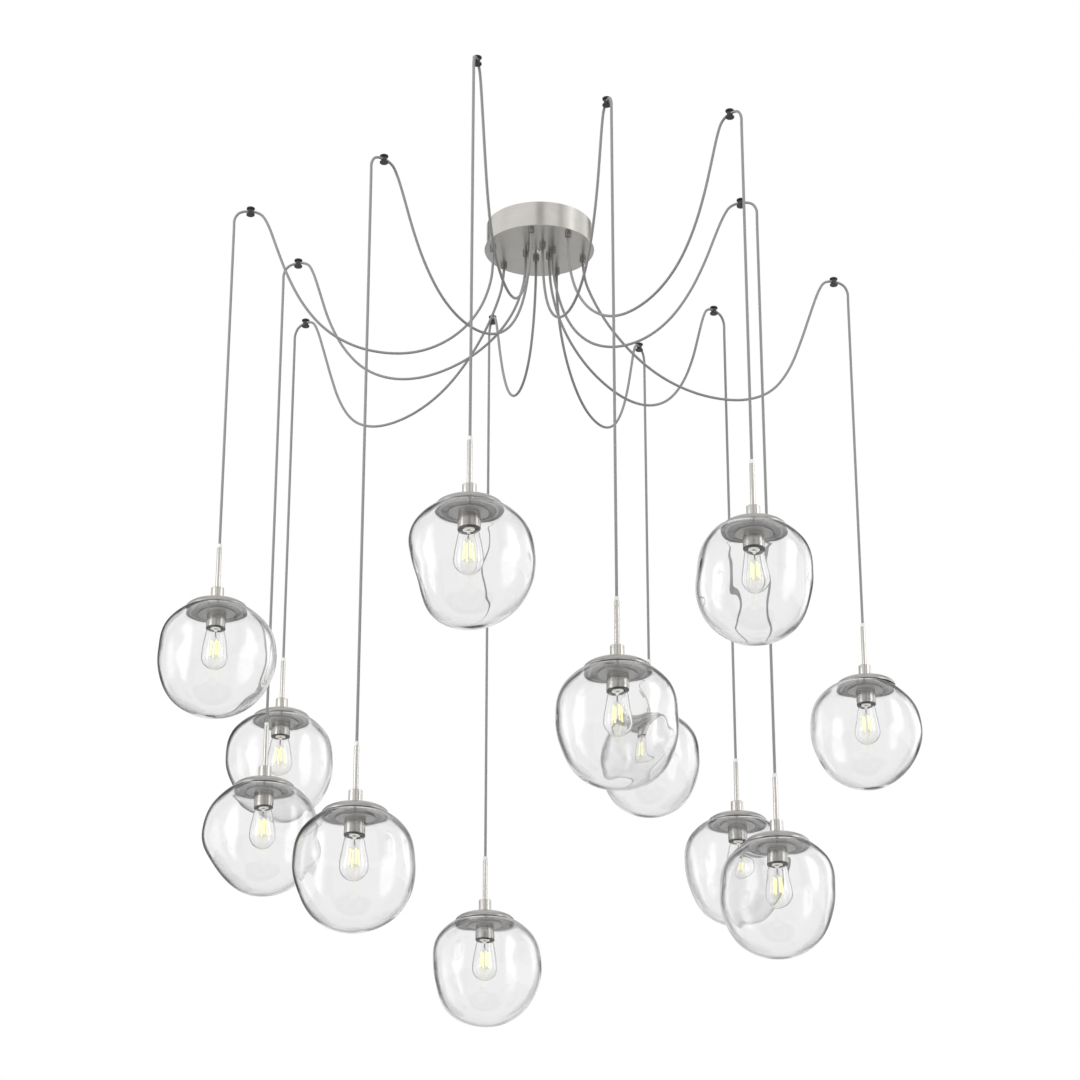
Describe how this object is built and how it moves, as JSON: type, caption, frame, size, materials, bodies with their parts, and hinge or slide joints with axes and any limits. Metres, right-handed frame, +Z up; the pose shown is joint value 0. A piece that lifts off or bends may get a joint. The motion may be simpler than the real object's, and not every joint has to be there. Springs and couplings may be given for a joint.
{
  "type": "cluster pendant",
  "caption": "Cluster pendant light: clear dented glass globes hang at three heights on cords that swag from one round canopy to ceiling hooks.",
  "frame": {"origin": "On the ceiling plane at the centre of the canopy and of its ceiling bracket's slots.", "axes": "+Z is up, into the ceiling; +X is to the right and +Y away from the viewer, as the picture shows the light."},
  "size_m": [1.6783, 1.6697, 1.7501],
  "materials": {
    "brushed_nickel": "brushed satin nickel",
    "polished_nickel": "polished nickel",
    "zinc_steel": "zinc-plated steel",
    "insulator": "moulded insulating plastic",
    "grey_braid": "grey braided cord jacket",
    "black_metal": "black satin paint",
    "clear_glass": "clear blown glass, uneven",
    "lamp_glass": "clear lamp glass with lit filaments"
  },
  "bodies": {
    "canopy": {"ceiling_bracket": "zinc_steel", "bracket_fasteners": "zinc_steel", "canopy_band": "brushed_nickel", "canopy_plate": "brushed_nickel", "cap_nut": "brushed_nickel", "terminal_hub": "insulator", "lead_tails": "grey_braid", "cord_grips": "polished_nickel", "grip_locknuts": "zinc_steel", "hook_bases": "black_metal", "hook_caps": "black_metal", "swag_cords": "grey_braid"},
    "pendant_01": {"pendant_01_cord": "grey_braid", "pendant_01_fitting": "brushed_nickel", "pendant_01_globe": "clear_glass", "pendant_01_lamp": "lamp_glass"},
    "pendant_02": {"pendant_02_cord": "grey_braid", "pendant_02_fitting": "brushed_nickel", "pendant_02_globe": "clear_glass", "pendant_02_lamp": "lamp_glass"},
    "pendant_03": {"pendant_03_cord": "grey_braid", "pendant_03_fitting": "brushed_nickel", "pendant_03_globe": "clear_glass", "pendant_03_lamp": "lamp_glass"},
    "pendant_04": {"pendant_04_cord": "grey_braid", "pendant_04_fitting": "brushed_nickel", "pendant_04_globe": "clear_glass", "pendant_04_lamp": "lamp_glass"},
    "pendant_05": {"pendant_05_cord": "grey_braid", "pendant_05_fitting": "brushed_nickel", "pendant_05_globe": "clear_glass", "pendant_05_lamp": "lamp_glass"},
    "pendant_06": {"pendant_06_cord": "grey_braid", "pendant_06_fitting": "brushed_nickel", "pendant_06_globe": "clear_glass", "pendant_06_lamp": "lamp_glass"},
    "pendant_07": {"pendant_07_cord": "grey_braid", "pendant_07_fitting": "brushed_nickel", "pendant_07_globe": "clear_glass", "pendant_07_lamp": "lamp_glass"},
    "pendant_08": {"pendant_08_cord": "grey_braid", "pendant_08_fitting": "brushed_nickel", "pendant_08_globe": "clear_glass", "pendant_08_lamp": "lamp_glass"},
    "pendant_09": {"pendant_09_cord": "grey_braid", "pendant_09_fitting": "brushed_nickel", "pendant_09_globe": "clear_glass", "pendant_09_lamp": "lamp_glass"},
    "pendant_10": {"pendant_10_cord": "grey_braid", "pendant_10_fitting": "brushed_nickel", "pendant_10_globe": "clear_glass", "pendant_10_lamp": "lamp_glass"},
    "pendant_11": {"pendant_11_cord": "grey_braid", "pendant_11_fitting": "brushed_nickel", "pendant_11_globe": "clear_glass", "pendant_11_lamp": "lamp_glass"},
    "pendant_12": {"pendant_12_cord": "grey_braid", "pendant_12_fitting": "brushed_nickel", "pendant_12_globe": "clear_glass", "pendant_12_lamp": "lamp_glass"}
  },
  "joints": [
    {"name": "pendant_01_swing", "type": "hinge", "parent": "canopy", "child": "pendant_01", "pos_m": [-0.13446, -0.77441, -0.057], "axis": [0.9853, -0.1711, 0], "range_deg": [-6, 6]},
    {"name": "pendant_02_swing", "type": "hinge", "parent": "canopy", "child": "pendant_02", "pos_m": [0.73789, 0.27076, -0.057], "axis": [-0.3445, 0.9388, 0], "range_deg": [-6, 6]},
    {"name": "pendant_03_swing", "type": "hinge", "parent": "canopy", "child": "pendant_03", "pos_m": [-0.60343, 0.50365, -0.057], "axis": [-0.6408, -0.7677, 0], "range_deg": [-6, 6]},
    {"name": "pendant_04_swing", "type": "hinge", "parent": "canopy", "child": "pendant_04", "pos_m": [0.42952, -0.55273, -0.057], "axis": [0.7896, 0.6136, 0], "range_deg": [-6, 6]},
    {"name": "pendant_05_swing", "type": "hinge", "parent": "canopy", "child": "pendant_05", "pos_m": [0.26392, 0.64834, -0.057], "axis": [-0.9262, 0.377, 0], "range_deg": [-6, 6]},
    {"name": "pendant_06_swing", "type": "hinge", "parent": "canopy", "child": "pendant_06", "pos_m": [-0.69344, -0.09561, -0.057], "axis": [0.1366, -0.9906, 0], "range_deg": [-6, 6]},
    {"name": "pendant_07_swing", "type": "hinge", "parent": "canopy", "child": "pendant_07", "pos_m": [0.15193, -0.60935, -0.057], "axis": [0.9703, 0.2419, 0], "range_deg": [-6, 6]},
    {"name": "pendant_08_swing", "type": "hinge", "parent": "canopy", "child": "pendant_08", "pos_m": [0.45175, 0.43624, -0.057], "axis": [-0.6947, 0.7193, 0], "range_deg": [-6, 6]},
    {"name": "pendant_09_swing", "type": "hinge", "parent": "canopy", "child": "pendant_09", "pos_m": [-0.60367, 0.1731, -0.057], "axis": [-0.2756, -0.9613, 0], "range_deg": [-6, 6]},
    {"name": "pendant_10_swing", "type": "hinge", "parent": "canopy", "child": "pendant_10", "pos_m": [0.49121, -0.14085, -0.057], "axis": [0.2756, 0.9613, 0], "range_deg": [-6, 6]},
    {"name": "pendant_11_swing", "type": "hinge", "parent": "canopy", "child": "pendant_11", "pos_m": [-0.12362, 0.49582, -0.057], "axis": [-0.9703, -0.2419, 0], "range_deg": [-6, 6]},
    {"name": "pendant_12_swing", "type": "hinge", "parent": "canopy", "child": "pendant_12", "pos_m": [-0.36758, -0.35497, -0.057], "axis": [0.6947, -0.7193, 0], "range_deg": [-6, 6]}
  ]
}
